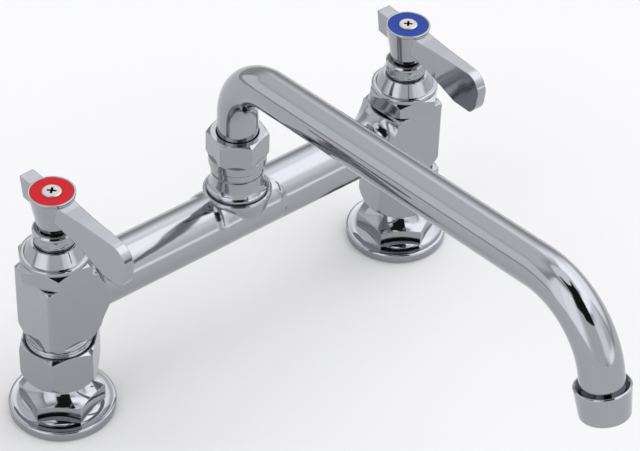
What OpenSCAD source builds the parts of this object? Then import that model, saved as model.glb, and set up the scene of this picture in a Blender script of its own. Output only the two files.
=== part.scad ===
// Deck-mount faucet: two hexagon-necked inlet flanges, a cast bridge body with a square
// column over each inlet, quarter-turn ceramic valves under lever handles, and a swinging
// tube spout with an aerator.
// The origin is on the deck, midway between the inlets. +X points to the cold side, -Y to
// the user, +Z up.

/* [Layout] */
// Distance between the centres of the hot and cold inlets
inlet_spread = 203.2; // [160:0.1:260]
// Height of the bridge tube's axis above the deck
bridge_height = 66.7; // [60:0.1:90]
// How far the hot lever stands off straight ahead when shut
hot_rest_angle = 2.5; // [-5:0.5:5]
// How far the cold lever stands off straight ahead when shut
cold_rest_angle = -1; // [-5:0.5:5]
// Turns of the hexagons as they were left when tightened: hot flange
hot_flange_turn = 20.5; // [0:0.5:60]
// Cold flange
cold_flange_turn = 27; // [0:0.5:60]
// Hot coupling nut
hot_coupling_turn = 45.5; // [0:0.5:60]
// Cold coupling nut
cold_coupling_turn = 20; // [0:0.5:60]
// Hot bonnet
hot_bonnet_turn = 0.5; // [0:0.5:60]
// Cold bonnet
cold_bonnet_turn = 43.5; // [0:0.5:60]
// Swivel nut
swivel_turn = 19.5; // [0:0.5:60]

/* [Inlet flanges] */
// Diameter of the round flange on the deck
flange_dia = 50; // [48:0.5:60]
// Height of the flange's rim
flange_rim = 5; // [4.5:0.1:5.5]
// Radius of the rim's rounded top edge
flange_round = 1.2; // [0.8:0.1:1.5]
// Width of the rim that is left round the dish
flange_rim_width = 1.6; // [1.5:0.1:2.5]
// Depth of the hollow between the rim and the hexagon
flange_dish = 1; // [0.5:0.1:1.6]
// Width across flats of the flange's hexagon
flange_hex = 34.4; // [32:0.1:36]
// Height above the deck at which the hexagon's sides start
flange_hex_foot = 6.6; // [6:0.1:8.5]
// Height of the hexagon's corners above the deck
flange_hex_corner = 13.2; // [12:0.1:14]
// Height at which the hexagon has narrowed to the neck
flange_height = 19.5; // [18:0.1:20]
// Radius of the hollow curve from the hexagon up to the neck
flange_curve = 16; // [12:0.1:30]
// Diameter of the neck that passes through the coupling nut
neck_dia = 22; // [20:0.1:23]
// Diameter of the inlet thread's crests, drawn as a plain bore
inlet_bore = 18.6; // [17:0.1:19.5]
// Depth of the inlet thread
inlet_depth = 16; // [14:0.5:17]
// Diameter of the waterways through the necks and columns
waterway = 13; // [11:0.5:14]

/* [Couplings] */
// Width across flats of the coupling nut
coupling_hex = 33.6; // [33:0.1:36]
// Overall height of the coupling nut
coupling_height = 22.8; // [20:0.1:23.5]
// Height of the nut's turned, domed lower end
coupling_dome = 9; // [8:0.5:12]
// Diameter of the flat ring under the nut
coupling_foot = 26; // [25:0.5:28]
// Thickness of the nut's floor under the collar
coupling_floor = 6.5; // [5:0.1:7]
// Diameter of the circle that the top chamfer leaves on the nut
coupling_crown = 34; // [33.5:0.1:35]
// Depth of the countersink round the nut's thread
coupling_countersink = 1; // [0.5:0.1:2]
// Outer diameter of the threaded tail below each column
tail_dia = 30.4; // [28:0.1:30.6]
// Length of the threaded tail
tail_length = 13; // [11:0.1:14]
// Thickness of the collar that the nut pulls up
collar_thick = 4; // [3:0.1:5]
// Thickness of the union washer
union_washer_thick = 2; // [1:0.1:3]
// Gap between the flange's hexagon and the coupling nut above it
coupling_gap = 1; // [0.5:0.1:2]
// Depth of the groove that ends the tail's thread
tail_groove = 0.7; // [0.4:0.1:1]
// Width of that groove
tail_groove_width = 2.6; // [2:0.1:3.5]

/* [Bridge body] */
// Outer diameter of the bridge tube
bridge_dia = 26.8; // [24:0.1:26.9]
// Bore of the bridge tube
bridge_bore = 16; // [12:0.5:17]
// Width of the square columns
column_width = 27; // [27:0.1:30]
// Radius of the columns' upright edges
column_edge = 1; // [0.5:0.1:3]
// Height of the columns above the bridge axis
column_rise = 17.1; // [16:0.1:20]
// Depth below the bridge axis down to which the columns are square
column_drop = 20.7; // [19:0.1:21]
// Diameter of the round foot that each column is turned down to
column_foot = 31; // [30.8:0.1:33]
// Height over which the column's corners are turned away
column_taper = 4.5; // [3:0.5:8]
// Radius of that turned curve
column_curve = 37; // [25:1:60]
// Radius of the hollow flare where the tube meets a column
flare_radius = 10; // [6:0.5:14]
// Diameter of the centre boss under the spout
boss_dia = 32; // [31:0.1:33]
// Depth and width of the groove that shows round the swivel base's foot
boss_groove = 0.6; // [0.3:0.1:0.8]
// Height of the centre boss above the bridge axis
boss_rise = 13.7; // [13.6:0.1:15]
// Radius of the rounded shoulders in which the tube swells towards the boss
boss_flare = 12.2; // [11.6:0.1:12.8]
// Distance from the spout axis to the ends of those shoulders
boss_flare_reach = 26.5; // [24:0.5:30]
// Width of the casting across both shoulders
boss_shoulder = 29.1; // [28:0.1:30]

/* [Valve cartridges] */
// Diameter of the chamber that holds each cartridge
chamber_dia = 19.2; // [18.8:0.1:20]
// Depth of the chamber's floor below the bridge axis
chamber_drop = 10.7; // [10:0.1:12]
// Height of the cartridge's resting step above the bridge axis
step_rise = 9.3; // [8.5:0.1:9.5]
// Diameter of the bonnet's thread in the column
bonnet_thread = 24; // [23.4:0.1:24.4]
// Thickness of the rubber seat seal
seal_thick = 2; // [1.5:0.1:2.2]
// Diameter of the ceramic discs
disc_dia = 15; // [14:0.1:15.4]
// Thickness of each ceramic disc
disc_thick = 2.4; // [2:0.1:2.5]
// Diameter of the ports in the ceramic discs
disc_port = 4.4; // [3:0.1:5]
// Diameter of the turning stem
stem_dia = 8.4; // [8:0.1:8.6]
// Thickness of the cartridge's flange
cartridge_flange = 2; // [1.6:0.1:2.4]
// Diameter of the cartridge's upper barrel
barrel_dia = 18; // [16.5:0.1:18]
// Thickness of the stem's O-ring cord
stem_ring_cord = 1.8; // [1.4:0.1:2]

/* [Bonnets] */
// Width across flats of the bonnet's hexagon
bonnet_hex = 31.5; // [30:0.1:33]
// Thickness of the gasket under the bonnet
gasket_thick = 0.6; // [0.4:0.1:1.5]
// Height of the bonnet's hexagon up to the corners
bonnet_hex_height = 6.6; // [5:0.1:8]
// Height of the chamfer above the corners
bonnet_chamfer = 1.6; // [1:0.1:2.5]
// Diameter of the rim above the hexagon
bonnet_rim = 31.8; // [31:0.1:33]
// Height of the bonnet's cone above the rim
bonnet_cone = 6.6; // [5.5:0.1:7]
// Diameter at the foot of the cone
cone_foot = 28; // [27:0.1:29]
// Diameter at the top of the cone
cone_top = 21.6; // [20.6:0.1:22]
// Width across flats of the packing nut
packing_hex = 17.4; // [17.2:0.1:19]
// Height of the packing nut above the bonnet
packing_nut_height = 7; // [6:0.1:7.4]
// Thickness of the packing ring
packing_thick = 2.4; // [2:0.1:3]

/* [Levers] */
// Height of the hub from its foot to its rim
hub_height = 20.4; // [20:0.1:22]
// Diameter of the hub's rim
hub_dia = 21.2; // [21:0.1:23]
// Diameter of the hub above its rounded foot
hub_foot = 15.4; // [14.6:0.1:16]
// Reach of the lever from the stem's axis
lever_reach = 53.8; // [50:0.1:65]
// Length of the paddle, from its end to where its lower edge starts to rise
paddle_length = 23.8; // [20:0.1:28]
// Height of the lever's paddle end
paddle_height = 22; // [20:0.1:24]
// Half thickness of the lever next to the hub
lever_root_half = 4.6; // [4:0.1:5]
// Half thickness of the lever at its end
lever_tip_half = 2.3; // [1.8:0.1:2.8]
// Reach of the short stub behind the hub
stub_reach = 18.4; // [16:0.1:22]
// Width of the stub
stub_width = 7.3; // [6:0.1:9]
// Outer diameter of the coloured index ring
index_dia = 19.2; // [18.6:0.1:19.6]
// Thickness of the index ring
index_thick = 1.1; // [0.8:0.1:1.4]
// Diameter of the handle screw's head
screw_head = 8.8; // [8:0.1:10]
// Diameter of the handle screw's shank
screw_shank = 3.8; // [3:0.1:4]
// Width of the stem's square drive
drive_square = 6.4; // [6:0.1:6.6]
// Length of the stem's square drive
drive_length = 13; // [11:0.5:14]

/* [Spout] */
// Outer diameter of the spout tube, three quarters of an inch
spout_dia = 19.05; // [18.4:0.05:19.1]
// Wall of the spout tube
spout_wall = 1.2; // [0.8:0.1:1.6]
// Height above the bridge axis at which the riser starts to bend
riser_top = 56.7; // [52:0.1:120]
// Radius of the first bend's centre line
first_bend = 26.7; // [22:0.1:40]
// Angle by which the long run rises
run_rise = 5.7; // [2:0.1:15]
// Length of the straight run
run_length = 171; // [120:1:250]
// Radius of the second bend's centre line
second_bend = 37.2; // [30:0.1:50]
// Angle by which the outlet leans away from straight down
outlet_lean = 14.3; // [0:0.1:30]
// Straight length from the second bend to the aerator
outlet_straight = 5.8; // [3:0.1:15]

/* [Swivel] */
// Diameter of the swivel base's foot on the centre boss
base_foot = 28.4; // [27.6:0.1:28.8]
// Diameter of the swivel base's collar
base_collar = 24.6; // [24.4:0.1:25]
// Height of that collar
base_collar_height = 10.6; // [9:0.1:12]
// Diameter of the swivel nut's thread
swivel_thread = 23.4; // [23.2:0.1:23.8]
// Length of the swivel nut's thread on the base
swivel_thread_length = 13; // [12:0.1:14]
// Depth to which the base is screwed into the boss
base_spigot = 9; // [6:0.1:10]
// Bore in which the spout turns
swivel_bore = 20.6; // [20.4:0.1:20.8]
// Width across flats of the swivel nut
swivel_hex = 25.3; // [25:0.1:27]
// Diameter of the swivel nut's round skirt
swivel_skirt = 25.4; // [25:0.1:26]
// Height of that skirt
swivel_skirt_height = 4.4; // [3:0.1:5]
// Diameter of the round shoulder between the skirt and the hexagon
swivel_shoulder = 27.2; // [26.4:0.1:28]
// Height of that shoulder
swivel_shoulder_height = 4; // [2:0.1:5]
// Thickness of the swivel nut's top
swivel_top = 5.8; // [4:0.1:7]
// Thickness of the flange that keeps the spout down
keeper_thick = 2; // [1.5:0.1:3]
// Thickness of the slip washer
slip_washer_thick = 1; // [0.6:0.1:1.5]
// Thickness of the spout's O-ring cord
spout_ring_cord = 1.6; // [1.2:0.1:1.8]

/* [Aerator] */
// Diameter of the aerator at its upper edge
aerator_top = 24; // [23.4:0.1:26]
// Diameter of the aerator at its lower edge
aerator_foot = 21.6; // [21:0.1:23]
// Length of the aerator
aerator_length = 14.4; // [13.6:0.1:18]
// Depth to which the spout is screwed into the aerator
aerator_grip = 6.4; // [5:0.1:7]
// Diameter of the water outlet
outlet_dia = 17.2; // [15:0.1:17.6]
// Thickness of the aerator's washer
aerator_washer_thick = 1.6; // [1:0.1:2]

/* [Fits] */
// Radial clearance between turning parts
running_gap = 0.05; // [0.02:0.01:0.1]
// Radial clearance drawn at screwed and pushed-in joints
seat_gap = 0.1; // [0.05:0.01:0.2]
// Clearance beside parts that turn without touching
free_gap = 0.5; // [0.3:0.05:0.8]

/* [Hidden] */

$fn = 96;
chrome = "silver";
brass = "goldenrod";
rubber = "dimgray";
// A cut runs this far past the faces that it opens
cut = 1;
// A blend starts this far under the surface that it meets, so the two cross cleanly
sink = 0.03;

// Heights of the column and of what stands below it, from the flange up
column_top = bridge_height + column_rise;
taper_bottom = bridge_height - column_drop;
coupling_bottom = flange_height + coupling_gap;
collar_bottom = coupling_bottom + coupling_floor;
collar_top = collar_bottom + collar_thick;
tail_bottom = collar_top + union_washer_thick;
column_bottom = tail_bottom + tail_length;

// Heights inside the column
chamber_floor = bridge_height - chamber_drop;
cartridge_bottom = chamber_floor + seal_thick;
step = bridge_height + step_rise;
skirt_bottom = step + cartridge_flange;
disc_split = cartridge_bottom + disc_thick;
disc_top = disc_split + disc_thick;

// Heights of the bonnet and packing nut
bonnet_seat = column_top + gasket_thick;
bonnet_corner = bonnet_seat + bonnet_hex_height;
bonnet_neck = bonnet_corner + bonnet_chamfer;
rim_height = 1;
rim_bottom = bonnet_neck;
rim_top = rim_bottom + 2 * rim_height;
cone_lap = 0.3;
cone_bottom = rim_top - cone_lap;
bonnet_top = cone_bottom + bonnet_cone;
packing_depth = 8;
packing_seat = bonnet_top - packing_depth;
packing_nut_gap = 0.6;
packing_nut_foot = bonnet_top + packing_nut_gap;
packing_nut_top = packing_nut_foot + packing_nut_height;
recess_rise = 1.8;
recess_floor = packing_nut_foot + recess_rise;

// Heights of the handle
hub_overlap = 0.6;
hub_bottom = packing_nut_top - hub_overlap;
hub_top = hub_bottom + hub_height;
index_recess = 0.15;
index_top = hub_top - index_recess;
index_floor = index_top - index_thick;
shoulder_bottom = recess_floor + free_gap;
drive_top = hub_bottom + drive_length;

// Half widths of the hexagons and of the column, measured to their corners
function corner(across_flats) = across_flats / 2 / cos(30);
column_corner = (column_width / 2 - column_edge) * sqrt(2) + column_edge;

// Heights of the swivel
boss_top = bridge_height + boss_rise;
thread_bottom = boss_top + base_collar_height;
base_top = thread_bottom + swivel_thread_length;
keeper_bottom = base_top + seat_gap;
keeper_top = keeper_bottom + keeper_thick;
slip_bottom = keeper_top + seat_gap;
slip_top = slip_bottom + slip_washer_thick;
swivel_nut_gap = 1.2;
swivel_nut_bottom = thread_bottom + swivel_nut_gap;
swivel_nut_top = slip_top + seat_gap + swivel_top;
sleeve_floor = boss_top + 1.2;
sleeve_bottom = sleeve_floor + free_gap;
tube_socket = 9;
tube_foot = base_top - tube_socket;
sleeve_dia = swivel_bore - 2 * running_gap;
ring_bed_dia = sleeve_dia - 2 * spout_ring_cord;
ring_grooves = [sleeve_bottom + 2.5, sleeve_bottom + 7];

// Angles of the spout's two bends
first_angle = 90 - run_rise;
second_angle = 90 + run_rise - outlet_lean;
riser_bend = bridge_height + riser_top;
// The straight lengths are a hair slimmer than the bends and start just inside them, so
// that each join is one solid whatever the angles are.
bend_lap = 0.4;
bend_excess = 0.1;

// Distances along the outlet's axis, from the aerator's upper edge
washer_start = aerator_grip + seat_gap;
housing_start = washer_start + aerator_washer_thick;
aerator_lip = 1.2;
housing_wall = 1.2;
housing_end = aerator_length - aerator_lip - seat_gap;
aerator_bore_step = 0.5;
aerator_bore = spout_dia - aerator_bore_step;

// Centre of a circle of the given radius through two points, to the right of the way
// from the first to the second
function arc_centre(from, to, radius) =
    let (
        way = to - from,
        length = norm(way),
        off = sqrt(radius * radius - length * length / 4)
    )
    (from + to) / 2 + off * [way[1], -way[0]] / length;

// Radius of a circle that stands upright at the height of rise and has moved in by inset
// at its foot
function upright_radius(inset, rise) = (inset * inset + rise * rise) / 2 / inset;

module hexagon(across_flats, height) {
    cylinder(r = corner(across_flats), h = height, $fn = 6);
}

module ring(outer, inner, height) {
    difference() {
        cylinder(d = outer, h = height);
        translate([0, 0, -cut]) cylinder(d = inner, h = height + 2 * cut);
    }
}

module o_ring(inner, cord) {
    rotate_extrude() translate([inner / 2 + cord / 2, 0]) circle(d = cord);
}

module at_inlet(side) {
    translate([side * inlet_spread / 2, 0, 0]) children();
}

// Inlet flanges

// A hollow runs round the hexagon, from the rim up to the foot of the hexagon's sides.
module flange_disc() {
    radius = flange_dia / 2;
    foot_round = 1;
    lap = 0.6;
    rim = [radius - flange_rim_width, flange_rim];
    foot = [flange_hex / 2 - 0.2, flange_hex_foot];
    half = norm(rim - foot) / 2;
    hollow = (half * half + flange_dish * flange_dish) / 2 / flange_dish;
    rotate_extrude() difference() {
        union() {
            translate([0, foot_round]) square([radius, flange_rim - flange_round - foot_round]);
            square([radius - foot_round, flange_rim - flange_round]);
            translate([0, foot_round]) square([radius - flange_round, flange_rim - foot_round]);
            translate([radius - foot_round, foot_round]) circle(r = foot_round);
            translate([radius - flange_round, flange_rim - flange_round]) circle(r = flange_round);
            square([rim[0] - lap, flange_hex_foot]);
        }
        translate(arc_centre(rim, foot, hollow)) circle(r = hollow, $fn = 192);
    }
}

// The hexagon is turned to a hollow curve that ends in a narrow shoulder round the neck.
module flange_hexagon() {
    shoulder = 0.2;
    bottom = flange_rim - flange_dish - cut;
    foot = [corner(flange_hex), flange_hex_corner];
    head = [neck_dia / 2 + shoulder, flange_height];
    intersection() {
        translate([0, 0, bottom]) hexagon(flange_hex, flange_height - bottom);
        rotate_extrude() difference() {
            translate([0, bottom]) square([foot[0] + cut, flange_height - bottom]);
            translate(arc_centre(foot, head, flange_curve)) circle(r = flange_curve, $fn = 192);
        }
    }
}

module flange(turn) {
    color(chrome) difference() {
        union() {
            flange_disc();
            rotate([0, 0, turn]) flange_hexagon();
            translate([0, 0, flange_height - cut])
                cylinder(d = neck_dia, h = collar_top - flange_height + cut);
            translate([0, 0, collar_bottom]) cylinder(d = collar_dia(), h = collar_thick);
        }
        translate([0, 0, -cut]) cylinder(d = inlet_bore, h = inlet_depth + cut);
        translate([0, 0, -cut]) cylinder(d = waterway, h = collar_top + 2 * cut);
    }
}

function collar_dia() = tail_dia - 2;

module union_washer() {
    color(rubber) translate([0, 0, collar_top])
        ring(collar_dia(), waterway + 2, union_washer_thick);
}

module coupling_nut(turn) {
    outer = corner(coupling_hex);
    crown = coupling_crown / 2;
    top = coupling_bottom + coupling_height;
    dome_top = coupling_bottom + coupling_dome;
    dome = upright_radius(outer - coupling_foot / 2, coupling_dome);
    chamfer = (outer - crown) * tan(30);
    color(chrome) difference() {
        intersection() {
            rotate([0, 0, turn]) translate([0, 0, coupling_bottom])
                hexagon(coupling_hex, coupling_height);
            rotate_extrude() union() {
                polygon([
                    [0, dome_top - sink], [outer + sink, dome_top - sink],
                    [outer + sink, top - chamfer], [crown, top], [0, top]
                ]);
                intersection() {
                    translate([0, coupling_bottom]) square([outer + cut, coupling_dome]);
                    translate([outer - dome, dome_top]) circle(r = dome, $fn = 192);
                }
            }
        }
        translate([0, 0, coupling_bottom - cut])
            cylinder(d = neck_dia + 2 * seat_gap, h = coupling_floor + 2 * cut);
        translate([0, 0, collar_bottom])
            cylinder(d = tail_dia + 2 * seat_gap, h = coupling_height);
        translate([0, 0, top - coupling_countersink]) cylinder(
            d1 = tail_dia + 2 * seat_gap,
            d2 = tail_dia + 2 * seat_gap + 2 * coupling_countersink,
            h = coupling_countersink
        );
    }
}

// Bridge body

// A hollow flare round the tube's axis, growing from the tube along +Z
module flare(radius) {
    tube = bridge_dia / 2 - sink;
    rotate_extrude() difference() {
        square([tube + radius, radius + 2]);
        translate([tube + radius, 0]) circle(r = radius);
    }
}

module rounded_square(width, radius) {
    inner = width / 2 - radius;
    square([2 * inner, width], center = true);
    square([width, 2 * inner], center = true);
    for (x = [-inner, inner], y = [-inner, inner]) translate([x, y]) circle(r = radius);
}

// The lower end of a column is turned on a lathe, and so is what stands out beside it.
module turned_end(radius, top) {
    centre = arc_centre(
        [column_corner, taper_bottom + column_taper], [column_foot / 2, taper_bottom],
        column_curve
    );
    rotate_extrude() union() {
        translate([0, tail_bottom]) square([column_foot / 2, taper_bottom - tail_bottom + sink]);
        intersection() {
            translate([0, taper_bottom]) square([radius, centre[1] - taper_bottom]);
            translate(centre) circle(r = column_curve, $fn = 192);
        }
        translate([0, centre[1] - sink]) square([radius, top - centre[1] + sink]);
    }
}

module column() {
    top_chamfer = 1.6;
    round_top = column_corner - top_chamfer;
    intersection() {
        translate([0, 0, column_bottom]) linear_extrude(column_top - column_bottom)
            rounded_square(column_width, column_edge);
        rotate_extrude() polygon([
            [0, column_bottom], [column_corner + sink, column_bottom],
            [column_corner + sink, column_top - top_chamfer * tan(30)],
            [round_top, column_top], [0, column_top]
        ]);
        turned_end(column_corner + cut, column_top);
    }
    difference() {
        translate([0, 0, tail_bottom]) cylinder(d = tail_dia, h = tail_length + cut);
        translate([0, 0, column_bottom - tail_groove_width])
            ring(tail_dia + 2 * cut, tail_dia - 2 * tail_groove, tail_groove_width);
    }
}

// The flare is as wide as the column, so its sides run out on the column's front and back.
module column_flare(side) {
    face = inlet_spread / 2 - column_width / 2;
    depth = 2;
    top_gap = 1.2;
    reach = column_corner + flare_radius;
    intersection() {
        translate([side * (face - flare_radius), 0, bridge_height]) rotate([0, side * 90, 0])
            flare(flare_radius);
        translate([
            side > 0 ? face - flare_radius - depth : -face - depth,
            -column_width / 2, column_bottom
        ]) cube([flare_radius + 2 * depth, column_width, column_top - top_gap - column_bottom]);
        at_inlet(side) turned_end(reach, column_top);
    }
}

// The tube swells to a rounded shoulder on both sides of the boss. The shoulders' tops lie
// just inside the tube, which keeps its own top line.
module boss() {
    lip = 0.8;
    inset = 0.2;
    collar = 2;
    middle = boss_flare_reach - boss_flare;
    translate([0, 0, bridge_height])
        cylinder(d1 = bridge_dia - 2 * sink, d2 = boss_dia, h = boss_rise - collar);
    translate([0, 0, boss_top - collar - sink]) cylinder(d = boss_dia, h = collar - lip + sink);
    translate([0, 0, boss_top - lip - sink])
        cylinder(d1 = boss_dia, d2 = boss_dia - 2 * lip, h = lip + sink);
    for (side = [-1, 1]) translate([
        0, side * (boss_shoulder / 2 - boss_flare), bridge_height + bridge_dia / 2 - boss_flare - inset
    ]) {
        translate([-middle, 0, 0]) rotate([0, 90, 0]) cylinder(r = boss_flare, h = 2 * middle);
        for (end = [-1, 1]) translate([end * middle, 0, 0]) sphere(r = boss_flare);
    }
}

module manifold() {
    color(chrome) difference() {
        union() {
            translate([-inlet_spread / 2, 0, bridge_height]) rotate([0, 90, 0])
                cylinder(d = bridge_dia, h = inlet_spread);
            boss();
            for (side = [-1, 1]) {
                at_inlet(side) column();
                column_flare(side);
            }
        }
        translate([-inlet_spread / 2, 0, bridge_height]) rotate([0, 90, 0])
            cylinder(d = bridge_bore, h = inlet_spread);
        for (side = [-1, 1]) at_inlet(side) {
            translate([0, 0, tail_bottom - cut])
                cylinder(d = waterway, h = chamber_floor - tail_bottom + 2 * cut);
            translate([0, 0, chamber_floor]) cylinder(d = chamber_dia, h = column_top);
            translate([0, 0, step]) cylinder(d = bonnet_thread + 2 * seat_gap, h = column_top);
        }
        translate([0, 0, bridge_height]) cylinder(d = waterway, h = boss_rise + cut);
        translate([0, 0, boss_top - base_spigot])
            cylinder(d = spigot_dia() + 2 * seat_gap, h = base_spigot + cut);
        translate([0, 0, boss_top - boss_groove])
            cylinder(d = base_foot + 2 * boss_groove, h = boss_groove + cut);
    }
}

// Valves

module seat_seal() {
    color(rubber) translate([0, 0, chamber_floor])
        ring(chamber_dia - 2 * seat_gap, waterway - 2, seal_thick);
}

module cartridge_body() {
    barrel_top = packing_seat;
    disc_bore = disc_dia + 2 * running_gap;
    bridge_wall = 1;
    disc_room = step - bridge_wall - cartridge_bottom;
    window_axis = bridge_height + 1;
    window_rise = window_axis - disc_top - bridge_wall;
    color(brass) difference() {
        union() {
            translate([0, 0, cartridge_bottom])
                cylinder(d = chamber_dia - 2 * seat_gap, h = step - cartridge_bottom);
            translate([0, 0, step]) cylinder(d = bonnet_thread - 2 * free_gap, h = cartridge_flange);
            translate([0, 0, skirt_bottom]) cylinder(d = barrel_dia, h = barrel_top - skirt_bottom);
        }
        translate([0, 0, cartridge_bottom - cut]) cylinder(d = disc_bore, h = disc_room + cut);
        translate([0, 0, cartridge_bottom])
            cylinder(d = stem_dia + 2 * running_gap, h = barrel_top - cartridge_bottom + cut);
        translate([-chamber_dia, 0, window_axis]) rotate([0, 90, 0])
            cylinder(r = window_rise, h = 2 * chamber_dia);
    }
}

// Both discs have two ports. Shut, those of one lie a quarter turn from the other's.
module disc(dia, angle) {
    difference() {
        cylinder(d = dia, h = disc_thick);
        for (turn = [0, 180])
            rotate([0, 0, angle + turn]) translate([disc_dia / 4, 0, -cut])
                cylinder(d = disc_port, h = disc_thick + 2 * cut);
    }
}

module fixed_disc() {
    color("white") translate([0, 0, cartridge_bottom]) disc(disc_dia, 0);
}

module turning_disc(rest_angle) {
    color("ivory") translate([0, 0, disc_split + running_gap]) rotate([0, 0, rest_angle])
        disc(disc_dia, 90);
}

module bonnet_gasket() {
    color(rubber) translate([0, 0, column_top])
        ring(column_width - 4 * seat_gap, bonnet_thread + 2 * seat_gap, gasket_thick);
}

module bonnet(turn) {
    point = corner(bonnet_hex);
    flat = bonnet_hex / 2;
    foot = flat + 0.2;
    foot_chamfer = 1.4;
    cone_collar = 1;
    barrel_bore = barrel_dia + 2 * seat_gap;
    color(chrome) difference() {
        union() {
            intersection() {
                rotate([0, 0, turn]) translate([0, 0, bonnet_seat])
                    hexagon(bonnet_hex, bonnet_neck - bonnet_seat);
                rotate_extrude() polygon([
                    [0, bonnet_seat], [foot, bonnet_seat], [point + sink, bonnet_seat + foot_chamfer],
                    [point + sink, bonnet_corner], [flat, bonnet_neck], [0, bonnet_neck]
                ]);
            }
            rotate_extrude() union() {
                translate([0, rim_bottom - sink])
                    square([bonnet_rim / 2 - rim_height, 2 * rim_height + sink]);
                translate([bonnet_rim / 2 - rim_height, rim_bottom + rim_height])
                    circle(r = rim_height);
                translate([0, rim_bottom]) square([bonnet_rim / 2, rim_height]);
            }
            translate([0, 0, cone_bottom - cone_collar])
                cylinder(d1 = cone_foot, d2 = cone_foot - foot_chamfer, h = cone_collar);
            translate([0, 0, cone_bottom])
                cylinder(d1 = cone_foot, d2 = cone_top, h = bonnet_cone);
            translate([0, 0, skirt_bottom])
                cylinder(d = bonnet_thread, h = bonnet_seat - skirt_bottom + cut);
        }
        translate([0, 0, skirt_bottom - cut])
            cylinder(d = barrel_bore, h = packing_seat + packing_thick - skirt_bottom + cut);
        translate([0, 0, skirt_bottom])
            cylinder(d = packing_thread() + 2 * seat_gap, h = bonnet_top - skirt_bottom + cut);
    }
}

function packing_thread() = barrel_dia - 1;

module packing() {
    color("white") translate([0, 0, packing_seat])
        ring(packing_thread(), stem_dia + 2 * running_gap, packing_thick);
}

module packing_nut() {
    outer = corner(packing_hex);
    flat = packing_hex / 2;
    recess_wall = 1.6;
    foot_height = 1.4;
    lower_chamfer = 0.8;
    upper_chamfer = 0.6;
    lip_width = 0.9;
    lip_height = 1.2;
    lip_chamfer = 0.8;
    hex_bottom = packing_nut_foot + foot_height;
    lip_bottom = packing_nut_top - lip_height - lip_chamfer;
    lip_top = lip_bottom + lip_height;
    color(chrome) difference() {
        union() {
            translate([0, 0, packing_seat + packing_thick])
                cylinder(d = packing_thread(), h = packing_nut_foot - packing_seat - packing_thick + cut);
            translate([0, 0, packing_nut_foot]) cylinder(r = flat + upper_chamfer, h = foot_height);
            intersection() {
                translate([0, 0, hex_bottom - sink])
                    hexagon(packing_hex, lip_bottom - hex_bottom + sink);
                rotate_extrude() polygon([
                    [0, packing_nut_foot], [flat, packing_nut_foot],
                    [outer + sink, hex_bottom + lower_chamfer],
                    [outer + sink, lip_bottom - upper_chamfer], [flat, lip_bottom], [0, lip_bottom]
                ]);
            }
            translate([0, 0, lip_bottom - sink]) cylinder(r = flat + lip_width, h = lip_height + sink);
            translate([0, 0, lip_top - sink]) cylinder(
                r1 = flat + lip_width, r2 = flat + lip_width - lip_chamfer, h = lip_chamfer + sink
            );
        }
        translate([0, 0, packing_seat])
            cylinder(d = stem_dia + 2 * free_gap, h = packing_nut_top - packing_seat + cut);
        translate([0, 0, recess_floor])
            cylinder(d = packing_hex - 2 * recess_wall, h = packing_nut_height);
    }
}

// Handles: these turn on the stem's axis

// Height of the groove for the stem's O-ring, and the room above and below the cord in it
stem_groove = packing_seat - 6;
groove_play = 0.2;

module stem(rest_angle) {
    plate_thick = 1.2;
    collar_bottom_width = 1.4;
    collar_top_width = 0.5;
    screw_hole = 11;
    color(brass) rotate([0, 0, rest_angle]) difference() {
        union() {
            translate([0, 0, disc_top + 2 * running_gap])
                cylinder(d = disc_dia - 2 * running_gap, h = plate_thick);
            translate([0, 0, disc_top + 2 * running_gap])
                cylinder(d = stem_dia, h = shoulder_bottom - disc_top);
            translate([0, 0, shoulder_bottom]) cylinder(
                d1 = stem_dia + 2 * collar_bottom_width, d2 = stem_dia + 2 * collar_top_width,
                h = hub_bottom - shoulder_bottom
            );
            translate([-drive_square / 2, -drive_square / 2, hub_bottom - sink])
                cube([drive_square, drive_square, drive_length + sink]);
        }
        translate([0, 0, stem_groove])
            ring(stem_dia + 2 * cut, stem_dia - 2 * stem_ring_cord, stem_ring_cord + groove_play);
        translate([0, 0, drive_top - screw_hole])
            cylinder(d = screw_shank + seat_gap, h = screw_hole + cut);
    }
}

module stem_o_ring() {
    color(rubber) translate([0, 0, stem_groove + (stem_ring_cord + groove_play) / 2])
        o_ring(stem_dia - 2 * stem_ring_cord + seat_gap / 2, stem_ring_cord - seat_gap / 2);
}

// Side view of the blade, with the way forward along X and up along Y. The paddle keeps its
// shape at the end, and the arm between it and the hub takes up a change of reach.
module blade_side() {
    root = 4;
    ledge = 1.1;
    top = hub_top + 0.2;
    bottom = top - paddle_height;
    arm_bottom = top - 11.2;
    arm_end = lever_reach - paddle_length;
    upper_round = 8.4;
    lower_round = 9.4;
    undercut = 0.6;
    heel = 250;
    upper = [lever_reach - upper_round, top - upper_round];
    lower = [lever_reach - undercut - lower_round, bottom + lower_round];
    translate(upper) circle(r = upper_round);
    translate(lower) circle(r = lower_round);
    polygon([
        [root, hub_top - ledge], [hub_dia / 2 + root, hub_top - ledge],
        [arm_end - root, hub_top - ledge / 2], [upper[0], top],
        upper + [upper_round, 0], lower + [lower_round, 0],
        lower + lower_round * [cos(heel), sin(heel)],
        [arm_end, bottom + 4.4], [arm_end - 10, arm_bottom - 2.8],
        [arm_end - 18, arm_bottom - 0.8], [root, arm_bottom]
    ]);
}

module blade_plan() {
    belly = lever_tip_half + 0.3;
    middle = (lever_root_half + lever_tip_half) / 2;
    for (side = [0, 1]) mirror([0, side]) polygon([
        [0, -sink], [0, lever_root_half + 0.4], [hub_dia / 2, lever_root_half],
        [lever_reach - paddle_length - 5, middle], [lever_reach - 9, belly],
        [lever_reach + cut, lever_tip_half], [lever_reach + cut, -sink]
    ]);
}

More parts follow.
